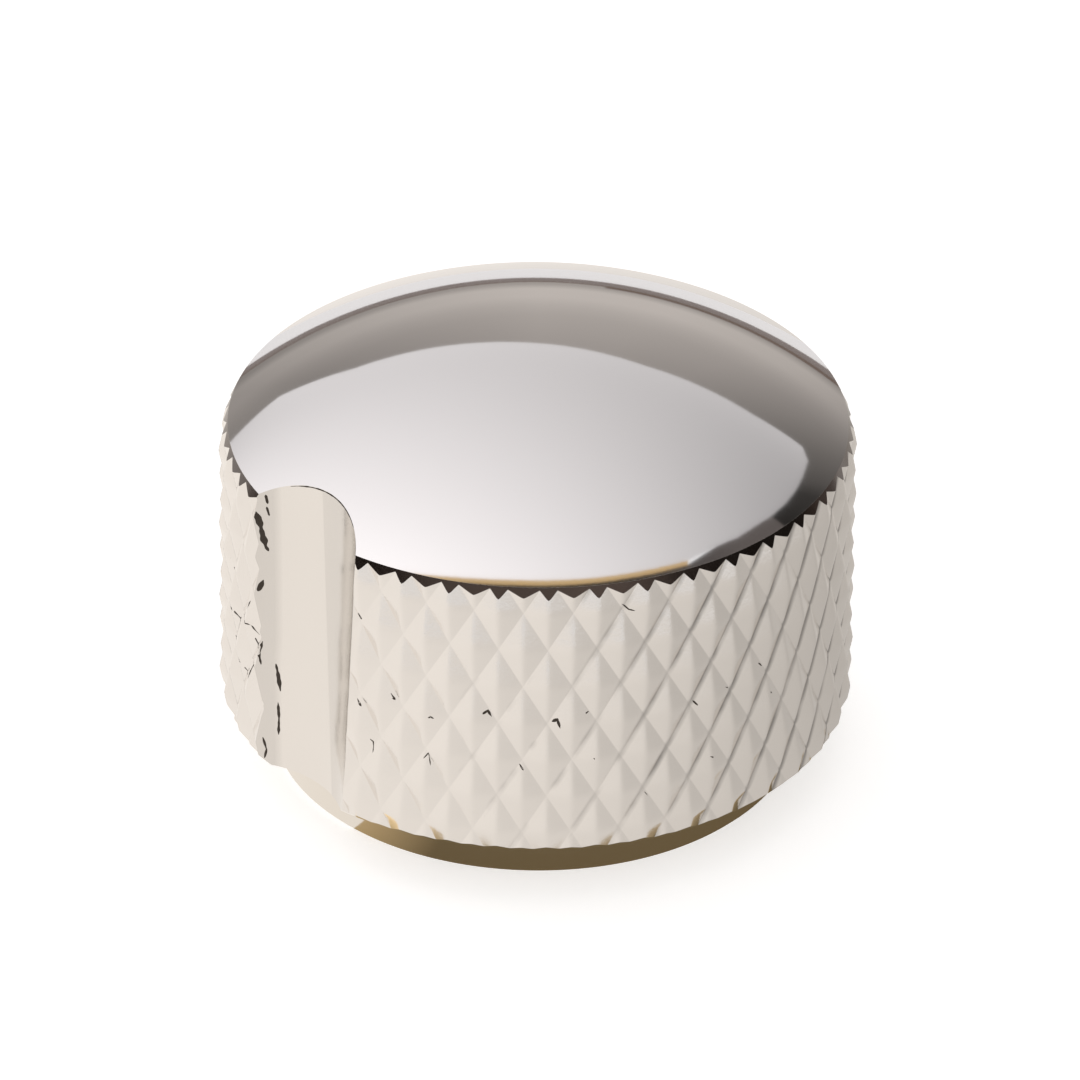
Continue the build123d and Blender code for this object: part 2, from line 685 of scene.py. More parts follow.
@dataclass
class KnurlNet:
    """The net of four-sided pyramids that grooves of both hands leave between them."""

    groove_count: int = 40
    helix_angle: float = 30.5
    crest_radius: float = KNOB_RADIUS
    groove_depth: float = 0.25 * MM
    row_height: float = 10.02 * MM
    row_azimuth: float = 2.2
    rows_below: int = 9
    rows_above: int = 4
    detail: int = 3
    ridge_softness: float = 0.04
    groove_softness: float = 0.03
    waviness: float = 0.012 * MM
    wave_size: float = 1.1 * MM
    join_distance: float = 0.002 * MM
    weld_distance: float = 0.003 * MM

    @property
    def step(self) -> float:
        """The angle from one crest to the next, in degrees."""
        return 360 / self.groove_count

    @property
    def row_rise(self) -> float:
        """How far one row stands above the last."""
        return math.pi * self.crest_radius / self.groove_count / math.tan(math.radians(self.helix_angle))

    def surface_radius(self, azimuth: float, height: float) -> float:
        """The knurl's radius at a place, without its waviness.

        Args:
            azimuth: in degrees.
            height: above the base.

        Returns:
            The radius of the pyramid there.
        """
        across = (azimuth - self.row_azimuth) / (self.step / 2)
        up = (height - self.row_height) / self.row_rise
        first = abs((across + up) / 2 - round((across + up) / 2))
        second = abs((across - up) / 2 - round((across - up) / 2))
        rise = 1 - 2 * max(first, second)
        return self.crest_radius - self.groove_depth * (1 - max(rise, 0.0))

    def sizes(self) -> dict[str, int | float]:
        """Gathers the sizes that the node tree takes.

        Returns:
            Each size, by the name of its input.
        """
        return {"Groove Count": self.groove_count, "Rows": self.rows_below + self.rows_above + 1,
                "Detail": self.detail, "Crest Radius": self.crest_radius, "Groove Depth": self.groove_depth,
                "Row Rise": self.row_rise, "First Height": self.row_height - self.rows_below * self.row_rise,
                "First Azimuth": math.radians(self.row_azimuth - self.rows_below * self.step / 2),
                "Ridge Softness": self.ridge_softness, "Groove Softness": self.groove_softness,
                "Waviness": self.waviness, "Wave Size": self.wave_size}

    def pyramid(self, graph: Graph, given: dict[str, Value]) -> Value:
        """Adds the nodes of one pyramid with soft ridges and grooves.

        Args:
            graph: the tree's graph.
            given: the tree's inputs.

        Returns:
            The pyramid, curved round the axis, at azimuth 0 and height 0.
        """
        flat = graph.node("GeometryNodeMeshCircle", {"fill_type": "TRIANGLE_FAN"}, {
            "Vertices": 4, "Radius": 1.0})
        fine = graph.node("GeometryNodeSubdivideMesh", {}, {"Mesh": flat, "Level": given["Detail"]})
        place = graph.node("GeometryNodeInputPosition")
        across, up = [graph.axis(place, name) for name in "XY"]

        def softened(distance: Value) -> Value:
            """Rounds the kink that a distance has at nought.

            Args:
                distance: from the middle of the pyramid.

            Returns:
                A distance that is still 0 at 0 and 1 at 1.
            """
            soft = given["Ridge Softness"]
            top = (distance * distance + soft * soft).math("SQRT") - soft
            return top / ((soft * soft + 1.0).math("SQRT") - soft)

        rise = 1.0 - softened(across) - softened(up)
        bottom = given["Groove Softness"]
        crown = (rise * rise + bottom * bottom).math("SQRT")
        radius = given["Crest Radius"] - given["Groove Depth"] * (1.0 - crown).math("MAXIMUM", 0.0)
        angle = across * (math.pi / given["Groove Count"])
        shaped = graph.node("ShaderNodeCombineXYZ", {}, {
            0: radius * angle.math("SINE"), 1: radius * angle.math("COSINE") * -1.0,
            2: up * given["Row Rise"]})
        return graph.node("GeometryNodeSetPosition", {}, {"Geometry": fine, "Position": shaped})

    def copies(self, graph: Graph, given: dict[str, Value], pyramid: Value) -> Value:
        """Adds the nodes that place the pyramid on every row and step.

        Args:
            graph: the tree's graph.
            given: the tree's inputs.
            pyramid: one pyramid.

        Returns:
            The net, joined along the pyramids' sides.
        """
        index = graph.node("GeometryNodeInputIndex")
        row = (index / given["Groove Count"]).math("FLOOR")
        along = index - row * given["Groove Count"]
        turn = given["First Azimuth"] + (along * 2.0 + row) * (math.pi / given["Groove Count"])
        height = given["First Height"] + row * given["Row Rise"]
        points = graph.node("GeometryNodePoints", {}, {
            "Count": given["Groove Count"] * given["Rows"],
            "Position": graph.node("ShaderNodeCombineXYZ", {}, {2: height})})
        placed = graph.node("GeometryNodeInstanceOnPoints", {}, {
            "Points": points, "Instance": pyramid,
            "Rotation": graph.node("ShaderNodeCombineXYZ", {}, {2: turn})})
        real = graph.node("GeometryNodeRealizeInstances", {}, {0: placed})
        return graph.node("GeometryNodeMergeByDistance", {}, {
            "Geometry": real, "Distance": self.join_distance})

    def waved(self, graph: Graph, given: dict[str, Value], net: Value) -> Value:
        """Adds the nodes that sink the net a little, more in some places than in others.

        Args:
            graph: the tree's graph.
            given: the tree's inputs.
            net: the net.

        Returns:
            The wavy net.
        """
        where = graph.node("GeometryNodeInputPosition")
        noise = graph.noise(where, given["Wave Size"], 2.0)
        level = graph.node("ShaderNodeVectorMath", {"operation": "MULTIPLY"}, {
            0: where, 1: (1.0, 1.0, 0.0)})
        outward = graph.node("ShaderNodeVectorMath", {"operation": "NORMALIZE"}, {0: level})
        shift = graph.node("ShaderNodeVectorMath", {"operation": "SCALE"}, {
            0: outward, "Scale": (noise - 1.0) * given["Waviness"]})
        return graph.node("GeometryNodeSetPosition", {}, {"Geometry": net, "Offset": shift})

    def tree(self, material: bpy.types.Material) -> bpy.types.NodeTree:
        """Builds the node tree of the net.

        Args:
            material: the finish of the net.

        Returns:
            The tree, whose named inputs are the knurl's sizes.
        """
        tree = bpy.data.node_groups.new("knurl_net", "GeometryNodeTree")
        for name, size in self.sizes().items():
            kind = "NodeSocketInt" if isinstance(size, int) else "NodeSocketFloat"
            tree.interface.new_socket(name=name, in_out="INPUT", socket_type=kind)
        tree.interface.new_socket(name="Geometry", in_out="OUTPUT", socket_type="NodeSocketGeometry")
        graph = Graph(tree)
        given = {name: graph.node("NodeGroupInput", output=name) for name in self.sizes()}
        net = self.waved(graph, given, self.copies(graph, given, self.pyramid(graph, given)))
        dressed = graph.node("GeometryNodeSetMaterial", {}, {"Geometry": net, "Material": material})
        graph.node("NodeGroupOutput", {}, {0: dressed})
        return tree

    def build(self, material: bpy.types.Material) -> bpy.types.Object:
        """Makes the net and closes its ends, so that it is a solid bar.

        Args:
            material: the finish of the net.

        Returns:
            The closed bar, longer than the knob.
        """
        holder = link_mesh("knurled_bar", bpy.data.meshes.new("seed"))
        modifier = holder.modifiers.new("net", "NODES")
        modifier.node_group = self.tree(material)
        sizes = self.sizes()
        for item in modifier.node_group.interface.items_tree:
            if item.in_out == "INPUT":
                modifier[item.identifier] = sizes[item.name]
        net = baked_mesh(holder)
        holder.modifiers.remove(modifier)
        holder.data = net

        shape = bmesh.new()
        shape.from_mesh(net)
        bmesh.ops.remove_doubles(shape, verts=shape.verts, dist=self.weld_distance)
        open_edges = [edge for edge in shape.edges if edge.is_boundary]
        middle = sum(v.co.z for v in shape.verts) / len(shape.verts)
        for end in (-1, 1):
            rim = [edge for edge in open_edges if (edge.verts[0].co.z - middle) * end > 0]
            height = sum(edge.verts[0].co.z for edge in rim) / len(rim)
            centre = shape.verts.new((0, 0, height))
            for edge in rim:
                shape.faces.new((edge.verts[0], edge.verts[1], centre))
        face_outwards(shape)
        shape.to_mesh(net)
        shape.free()
        return holder


@dataclass(frozen=True)
class KnurlNickel(Nickel):
    """The knurl's nickel, with painted shade in the grooves that rise to the right, more of it on the right.
    """

    net: KnurlNet = field(default_factory=KnurlNet)
    unshaded_tone: float = 1.0
    groove_shade_tone: float = 0.50
    full_shade_x: float = 8 * MM
    patch_size: float = 1.3 * MM
    patch_reach: float = 22 * MM
    groove_floor: float = 0.02
    groove_side: float = 0.10

    def shade(self, graph: Graph, place: Value, cloud: Value) -> Value | None:
        """Darkens the bottom of the grooves of one hand, as painted shade.

        Args:
            graph: the material's graph.
            place: the object coordinates.
            cloud: a slow noise; not used.

        Returns:
            The factor.
        """
        across, away, high = [graph.axis(place, name) for name in "XYZ"]
        turn = across.math("ARCTAN2", away * -1.0) - math.radians(self.net.row_azimuth)
        row = (high - self.net.row_height) / self.net.row_rise
        phase = (turn / math.radians(self.net.step) - row / 2).math("FRACT")
        middle = (phase - 0.5).math("ABSOLUTE")
        patch = graph.noise(place, self.patch_size, 2.0)
        side = across + (patch - 0.5) * self.patch_reach
        # Painted shade: the grooves grow darker towards the right
        depth = graph.remap(side, 0.0, self.full_shade_x, self.unshaded_tone, self.groove_shade_tone)
        return graph.remap(middle, self.groove_floor, self.groove_side, depth, 1.0)


@dataclass
class Thread:
    """A threaded rod along an outward line from the knob's axis, as a screw or as a tap."""

    radius: float
    depth: float
    pitch: float = 0.5 * MM
    round_steps: int = 48
    steps_per_turn: int = 8

    def mesh(self, name: str, azimuth: float, height: float, start: float, end: float,
             taper: float) -> bpy.types.Mesh:
        """Makes the rod.

        Args:
            name: the mesh's name.
            azimuth: the line's azimuth, in degrees.
            height: the line's height.
            start: the inner end's distance from the knob's axis.
            end: the outer end's distance.
            taper: how much the ends are chamfered.

        Returns:
            A closed mesh with a helical thread.
        """
        outward = around(1, azimuth, 0)
        side = outward.cross(Vector((0, 0, 1)))
        up = Vector((0, 0, 1))
        steps = max(2, round((end - start) / self.pitch * self.steps_per_turn))
        shape = bmesh.new()
        rings = []
        for k in range(steps + 1):
            along = start + (end - start) * k / steps
            edge = min(along - start, end - along)
            limit = self.radius - max(0.0, taper - edge)
            ring = []
            for i in range(self.round_steps):
                angle = 2 * math.pi * i / self.round_steps
                phase = (along / self.pitch - i / self.round_steps) % 1
                groove = abs(2 * phase - 1)
                reach = min(limit, self.radius - self.depth * groove)
                spoke = side * math.cos(angle) + up * math.sin(angle)
                ring.append(shape.verts.new(outward * along + up * height + spoke * reach))
            rings.append(ring)
        for low, high in zip(rings, rings[1:]):
            for i in range(self.round_steps):
                j = (i + 1) % self.round_steps
                shape.faces.new((low[i], low[j], high[j], high[i]))
        for ring in (rings[0], rings[-1]):
            shape.faces.new(ring)
        return closed_mesh(name, shape)


@dataclass
class ScrewPlace:
    """Where the set screw and its hole lie."""

    azimuth: float = 132.0
    height: float = 6.0 * MM
    radius: float = 1.5 * MM
    side_clearance: float = 0.05 * MM
    length: float = 4.0 * MM
    head_distance: float = 7.775 * MM
    thread_depth: float = 0.27 * MM


@dataclass
class TurnedBody:
    """The one-piece body: dome, shoulder, knurl, channel, collar and bore."""

    collar_radius: float = 7.875 * MM
    collar_height: float = 1.70 * MM
    collar_chamfer: float = 0.15 * MM
    knob_radius: float = KNOB_RADIUS
    skirt_chamfer: float = 0.35 * MM
    knurl_top: float = 10.35 * MM
    rim_radius: float = 9.245 * MM
    rim_height: float = 10.91 * MM
    rim_round: float = 0.06 * MM
    bore_radius: float = 3.205 * MM
    bore_depth: float = 9.0 * MM
    bore_chamfer: float = 0.30 * MM
    channel_azimuth: float = -48.9
    channel_cutter_radius: float = 3.25 * MM
    channel_depth_at_base: float = 0.92 * MM
    channel_depth_at_rim: float = 1.42 * MM
    segments: int = 288
    dome_rings: int = 44
    rim_rings: int = 6
    cutter_segments: int = 256
    cutter_below: float = 3 * MM
    cutter_above: float = 6 * MM
    tap_start: float = 0.5 * MM
    tap_overrun: float = 1 * MM
    crease_angle: float = 32.0
    margin: float = 0.08 * MM
    top: float = field(default_factory=lambda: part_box("knob_body")[1].z)
    knurl: KnurlNet = field(default_factory=KnurlNet)
    screw: ScrewPlace = field(default_factory=ScrewPlace)

    @property
    def dome_radius(self) -> float:
        """The radius of the dome's sphere."""
        rise = self.top - self.rim_height
        return (self.rim_radius**2 + rise**2) / (2 * rise)

    @property
    def dome_centre(self) -> Vector:
        """The centre of the dome's sphere."""
        return Vector((0, 0, self.top - self.dome_radius))

    def channel_axis(self) -> tuple[Vector, Vector]:
        """Where the channel's leaning cutter runs.

        Returns:
            Two points on its axis, at the collar and at the rim.
        """
        at_base = self.knob_radius - self.channel_depth_at_base + self.channel_cutter_radius
        at_rim = self.knob_radius - self.channel_depth_at_rim + self.channel_cutter_radius
        return (around(at_base, self.channel_azimuth, self.collar_height),
                around(at_rim, self.channel_azimuth, self.rim_height))

    def surface_radius(self, azimuth: float, height: float) -> float:
        """The body's radius at a place beside or in the channel.

        Args:
            azimuth: in degrees.
            height: above the base.

        Returns:
            The radius of the knurl, or of the channel where it is cut.
        """
        base, rim = self.channel_axis()
        axis = base + (rim - base) * ((height - base.z) / (rim.z - base.z))
        away = Vector((axis.x, axis.y)).length
        turn = math.radians(azimuth - self.channel_azimuth)
        reach = self.channel_cutter_radius**2 - (away * math.sin(turn))**2
        plain = self.knurl.surface_radius(azimuth, height)
        return min(plain, away * math.cos(turn) - math.sqrt(reach)) if reach > 0 else plain

    def profile(self) -> Profile:
        """The half section of the blank, from the end of the bore round to the top of the dome.

        Returns:
            The profile. Its band stands a margin proud of the knurl, along the slopes of the shoulder and
            the skirt, so that only those slopes cut the knurl.
        """
        slope = (self.rim_height - self.knurl_top) / (self.knob_radius - self.rim_radius)
        band = self.knob_radius + self.margin
        points = [
            (0.0, self.bore_depth, Region.BORE),
            (self.bore_radius, self.bore_depth, Region.BORE),
            (self.bore_radius, self.bore_chamfer, Region.BORE),
            (self.bore_radius + self.bore_chamfer, 0.0, Region.COLLAR),
            (self.collar_radius - self.collar_chamfer, 0.0, Region.COLLAR),
            (self.collar_radius, self.collar_chamfer, Region.COLLAR),
            (self.collar_radius, self.collar_height, Region.EDGE),
            (self.knob_radius - self.skirt_chamfer, self.collar_height, Region.EDGE),
            (band, self.collar_height + self.skirt_chamfer + self.margin, Region.EDGE),
            (band, self.knurl_top - slope * self.margin, Region.SHOULDER),
        ]
        rim_tilt = math.asin(self.rim_radius / self.dome_radius)
        shoulder_tilt = math.atan2(1.0, slope)
        middle_tilt = (rim_tilt + shoulder_tilt) / 2
        for k in range(self.rim_rings):
            tilt = shoulder_tilt + (rim_tilt - shoulder_tilt) * k / self.rim_rings
            reach = self.rim_round * (math.sin(tilt) - math.sin(middle_tilt))
            drop = self.rim_round * (math.cos(middle_tilt) - math.cos(tilt))
            points.append((self.rim_radius + reach, self.rim_height - drop, Region.EDGE))
        foot = self.rim_radius + self.rim_round * (math.sin(rim_tilt) - math.sin(middle_tilt))
        start = math.asin(foot / self.dome_radius)
        for k in range(self.dome_rings):
            tilt = start * (1 - k / self.dome_rings)
            points.append((self.dome_radius * math.sin(tilt),
                           self.dome_centre.z + self.dome_radius * math.cos(tilt), Region.DOME))
        points.append((0.0, self.top, Region.DOME))
        return points

    def exact_normal(self, region: Region, point: Vector) -> Vector | None:
        """The true normal of a region that has a formula.

        Args:
            region: the surface.
            point: a point on it.

        Returns:
            The outward normal, or None where the mesh's own is kept.
        """
        if region is Region.DOME:
            return (point - self.dome_centre).normalized()
        if region is Region.CHANNEL:
            base, rim = self.channel_axis()
            along = (rim - base).normalized()
            foot = base + along * (point - base).dot(along)
            return (foot - point).normalized()
        return None

    def set_normals(self, mesh: bpy.types.Mesh) -> None:
        """Marks the true edges sharp and gives the polished faces their exact normals.

        Args:
            mesh: the body's mesh, which is changed.
        """
        by_name = {region.value: region for region in Region}
        regions = [by_name[material.name] for material in mesh.materials]
        soft_joints = ({Region.DOME, Region.EDGE}, {Region.EDGE, Region.SHOULDER})
        shape = bmesh.new()
        shape.from_mesh(mesh)
        for face in shape.faces:
            face.smooth = True
        for edge in shape.edges:
            if len(edge.link_faces) != 2:
                edge.smooth = False
                continue
            pair = {regions[face.material_index] for face in edge.link_faces}
            joined = len(pair) == 1 or pair in soft_joints
            edge.smooth = joined and edge.calc_face_angle(0.0) < math.radians(self.crease_angle)
        shape.to_mesh(mesh)
        shape.free()
        normals = [Vector(corner.vector) for corner in mesh.corner_normals]
        for face in mesh.polygons:
            region = regions[face.material_index]
            for loop in face.loop_indices:
                exact = self.exact_normal(region, mesh.vertices[mesh.loops[loop].vertex_index].co)
                if exact is not None:
                    normals[loop] = exact
        mesh.normals_split_custom_set(normals)

    def build(self) -> bpy.types.Object:
        """Makes the body as one closed mesh that stands for the frame's knob_body.

        Returns:
            The finished piece.
        """
        finishes = {region: BODY_FINISHES[region].build() for region in Region}
        blank = link_mesh("knob_shell", revolved(self.profile(), self.segments, list(Region)),
                          *finishes.values())
        cut(blank, self.knurl.build(finishes[Region.KNURL]), Cut.KEEP_COMMON)
        base, rim = self.channel_axis()
        lean = (rim - base).normalized()
        bar = round_bar(base - lean * self.cutter_below, rim + lean * self.cutter_above,
                        self.channel_cutter_radius, self.cutter_segments)
        cut(blank, link_mesh("channel_cutter", bar, finishes[Region.CHANNEL]), Cut.REMOVE)
        tap = Thread(self.screw.radius + self.screw.side_clearance, self.screw.thread_depth)
        hole = tap.mesh("tap", self.screw.azimuth, self.screw.height, self.tap_start,
                        self.knob_radius + self.tap_overrun, 0.0)
        cut(blank, link_mesh("tap", hole, finishes[Region.BORE]), Cut.REMOVE)
        self.set_normals(blank.data)
        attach(blank, "root")
        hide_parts("knob_body")
        return blank


@dataclass
class SetScrew:
    """The cup-point grub screw, with its thread and its hexagon socket."""

    place: ScrewPlace = field(default_factory=ScrewPlace)
    socket_across_flats: float = 1.5 * MM
    socket_depth: float = 1.5 * MM
    cup_radius: float = 0.7 * MM
    cup_depth: float = 0.4 * MM
    end_chamfer: float = 0.3 * MM
    tool_overrun: float = 1 * MM
    cup_segments: int = 32

    def build(self) -> bpy.types.Object:
        """Makes the screw where the frame's set_screw lies.

        Returns:
            The finished piece.
        """
        steel = SCREW_FINISH.build()
        inner = self.place.head_distance - self.place.length
        rod = Thread(self.place.radius, self.place.thread_depth).mesh(
            "grub_screw", self.place.azimuth, self.place.height, inner, self.place.head_distance,
            self.end_chamfer)
        screw = link_mesh("grub_screw", rod, steel)
        middle = Vector((0, 0, self.place.height))
        outward = around(1, self.place.azimuth, 0)
        head = middle + outward * self.place.head_distance
        hexagon = round_bar(head - outward * self.socket_depth, head + outward * self.tool_overrun,
                            self.socket_across_flats / math.sqrt(3), 6)
        cut(screw, link_mesh("key", hexagon, steel), Cut.REMOVE)
        tip = middle + outward * inner
        cup = round_bar(tip - outward * self.tool_overrun, tip + outward * self.cup_depth, self.cup_radius,
                        self.cup_segments)
        cut(screw, link_mesh("cup", cup, steel), Cut.REMOVE)
        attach(screw, "root")
        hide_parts("set_screw")
        return screw


@dataclass(frozen=True)
class Mark:
    """A crack or a fleck, along points given by azimuth in degrees and height in millimetres."""

    path: tuple[tuple[float, float], ...]
    width: float


@dataclass
class FlawAndReflectionMarks:
    """The cracks beside the channel and the flecks in the knurl, as thin dark slivers on the surface: small
    real flaws, their darkness a painted reflection of dark surroundings.
    """

    body: TurnedBody
    proud: float = 0.006 * MM
    sunk: float = 0.02 * MM
    step: float = 0.05 * MM
    tip_share: float = 0.2
    taper_rate: float = 5.0
    plain_share: float = 0.68
    ripples: tuple[tuple[float, float, float], ...] = ((0.20, 9, 1), (0.12, 23, 2))
    lip_from: float = -58.5
    lip_sweep: float = 19.5
    lip_steps: int = 40
    lip_rounds: int = 8
    lip_drop: float = 0.03
    lip_width: float = 0.045

    def ragged(self, way: float, seed: float) -> float:
        """How wide a mark is some millimetres along it, as a share of its full width."""
        return self.plain_share + sum(size * math.sin(rate * way + shift * seed)
                                      for size, rate, shift in self.ripples)

    def trace(self, mark: Mark) -> list[tuple[float, float]]:
        """Walks a mark's path in small steps.

        Args:
            mark: the mark.

        Returns:
            Azimuths in degrees and heights in metres.
        """
        spots = []
        for (turn_a, high_a), (turn_b, high_b) in zip(mark.path, mark.path[1:]):
            across = math.radians(turn_b - turn_a) * self.body.knob_radius
            count = max(2, round(math.hypot(across, (high_b - high_a) * MM) / self.step))
            for k in range(count):
                share = k / count
                spots.append((turn_a + (turn_b - turn_a) * share, (high_a + (high_b - high_a) * share) * MM))
        last = mark.path[-1]
        return [*spots, (last[0], last[1] * MM)]

    def add(self, shape: bmesh.types.BMesh, mark: Mark) -> None:
        """Adds one mark as a closed sliver that tapers at both ends.

        Args:
            shape: the mesh that takes it.
            mark: the mark.
        """
        spots = self.trace(mark)
        radius = self.body.knob_radius
        seed = 3 * mark.path[0][1]
        rings = []
        for k, (turn, high) in enumerate(spots):
            before, after = spots[max(k - 1, 0)], spots[min(k + 1, len(spots) - 1)]
            along = Vector((math.radians(after[0] - before[0]) * radius, after[1] - before[1])).normalized()
            share = k / (len(spots) - 1)
            half = mark.width * MM / 2 * self.ragged(k * self.step / MM, seed)
            half *= min(1.0, self.tip_share + self.taper_rate * min(share, 1 - share))
            ring = []
            for side, lift in ((-1, self.proud), (1, self.proud), (1, -self.sunk), (-1, -self.sunk)):
                here = turn + math.degrees(side * half * -along.y / radius)
                height = high + side * half * along.x
                reach = self.body.surface_radius(here, height) + lift
                ring.append(shape.verts.new(around(reach, here, height)))
            rings.append(ring)
        for low, high_ring in zip(rings, rings[1:]):
            for i in range(4):
                j = (i + 1) % 4
                shape.faces.new((low[i], low[j], high_ring[j], high_ring[i]))
        shape.faces.new(rings[0])
        shape.faces.new(rings[-1])

    def lip(self) -> Mark:
        """The thin brown line along the top of the channel, where it meets the dome, a painted reflection of
        that edge.

        Returns:
            A mark that follows that edge.
        """
        path = []
        for k in range(self.lip_steps + 1):
            turn = self.lip_from + self.lip_sweep * k / self.lip_steps
            height = self.body.rim_height
            for _ in range(self.lip_rounds):
                radius = self.body.surface_radius(turn, height)
                height = self.body.dome_centre.z + math.sqrt(self.body.dome_radius**2 - radius**2)
            path.append((turn, height / MM - self.lip_drop))
        return Mark(tuple(path), self.lip_width)

    def build(self) -> bpy.types.Object:
        """Makes all the marks as one piece.

        Returns:
            The piece.
        """
        shape = bmesh.new()
        for mark in (*CRACKS, *FLECKS, self.lip()):
            self.add(shape, mark)
        marks = link_mesh("flaw_and_reflection_marks", closed_mesh("flaw_and_reflection_marks", shape), CRACK_FINISH.build())
        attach(marks, "root")
        return marks


# Marks picked one by one in the photograph, placed on the knob through the camera fitted to it
CRACKS = (
    Mark(((-62.9, 10.3), (-62.4, 9.9), (-62.0, 9.5), (-61.5, 9.1)), 0.15),
    Mark(((-62.2, 9.4), (-61.2, 9.0)), 0.10),
    Mark(((-61.6, 8.0), (-62.1, 7.6)), 0.12),
    Mark(((-65.0, 7.0), (-66.0, 6.5)), 0.06),
    Mark(((-75.5, 5.9), (-72.5, 5.8), (-70.8, 5.7)), 0.12),
    Mark(((-71.2, 5.8), (-71.4, 5.4), (-72.6, 4.9), (-75.0, 4.8)), 0.07),
    Mark(((-67.0, 6.5), (-65.6, 6.2), (-63.8, 6.3), (-61.8, 6.1)), 0.06),
    Mark(((-63.6, 6.0), (-62.4, 5.6), (-61.4, 5.6)), 0.09),
    Mark(((-61.2, 5.9), (-61.6, 5.5), (-61.2, 5.1)), 0.08),
    Mark(((-71.6, 4.8), (-69.4, 4.4), (-66.9, 4.2), (-65.8, 4.0)), 0.07),
    Mark(((-67.4, 4.25), (-66.0, 4.05)), 0.13),
    Mark(((-65.9, 4.1), (-65.2, 4.5), (-64.4, 4.9)), 0.05),
    Mark(((-59.2, 5.2), (-58.8, 4.9), (-58.2, 4.3)), 0.13),
    Mark(((-58.5, 3.9), (-58.2, 3.4), (-58.1, 2.8)), 0.09),
    Mark(((-60.4, 2.6), (-59.8, 2.2), (-60.0, 1.9)), 0.07),
    Mark(((-76.4, 7.4), (-75.4, 7.0)), 0.09),
    Mark(((-62.0, 10.9), (-61.7, 10.6)), 0.07),
    Mark(((-61.8, 10.5), (-61.4, 10.2)), 0.05),
)
FLECKS = (
    Mark(((-27.4, 6.6), (-26.2, 6.4)), 0.10),
    Mark(((-19.9, 6.0), (-19.0, 6.2), (-18.4, 6.1)), 0.07),
    Mark(((-9.6, 6.5), (-8.6, 6.6), (-7.9, 6.4)), 0.10),
    Mark(((3.0, 6.3), (4.0, 6.4), (4.5, 6.1)), 0.11),
    Mark(((-2.8, 4.8), (-2.0, 4.6)), 0.07),
    Mark(((-23.1, 2.8), (-22.3, 2.6)), 0.13),
    Mark(((-20.6, 4.6), (-19.7, 4.8), (-19.2, 4.4)), 0.05),
    Mark(((9.9, 5.3), (10.7, 5.0)), 0.06),
    Mark(((8.6, 6.5), (9.8, 6.6)), 0.06),
    Mark(((4.2, 8.6), (5.6, 8.3)), 0.05),
    Mark(((15.6, 10.2), (16.8, 10.0), (17.9, 9.95)), 0.05),
    Mark(((47.8, 5.5), (48.6, 5.3)), 0.10),
    Mark(((44.8, 6.7), (46.0, 6.5)), 0.06),
    Mark(((33.4, 4.2), (34.5, 4.1), (35.0, 3.9)), 0.05),
    Mark(((29.8, 6.3), (30.8, 6.1)), 0.06),
    Mark(((20.4, 3.5), (21.3, 3.3)), 0.05),
    Mark(((36.4, 6.5), (37.6, 6.3)), 0.06),
    Mark(((-34.2, 9.0), (-33.5, 8.8)), 0.07),
    Mark(((-34.4, 6.0), (-33.3, 5.8)), 0.08),
    Mark(((-31.4, 4.8), (-30.8, 4.7), (-30.9, 4.3)), 0.06),
)


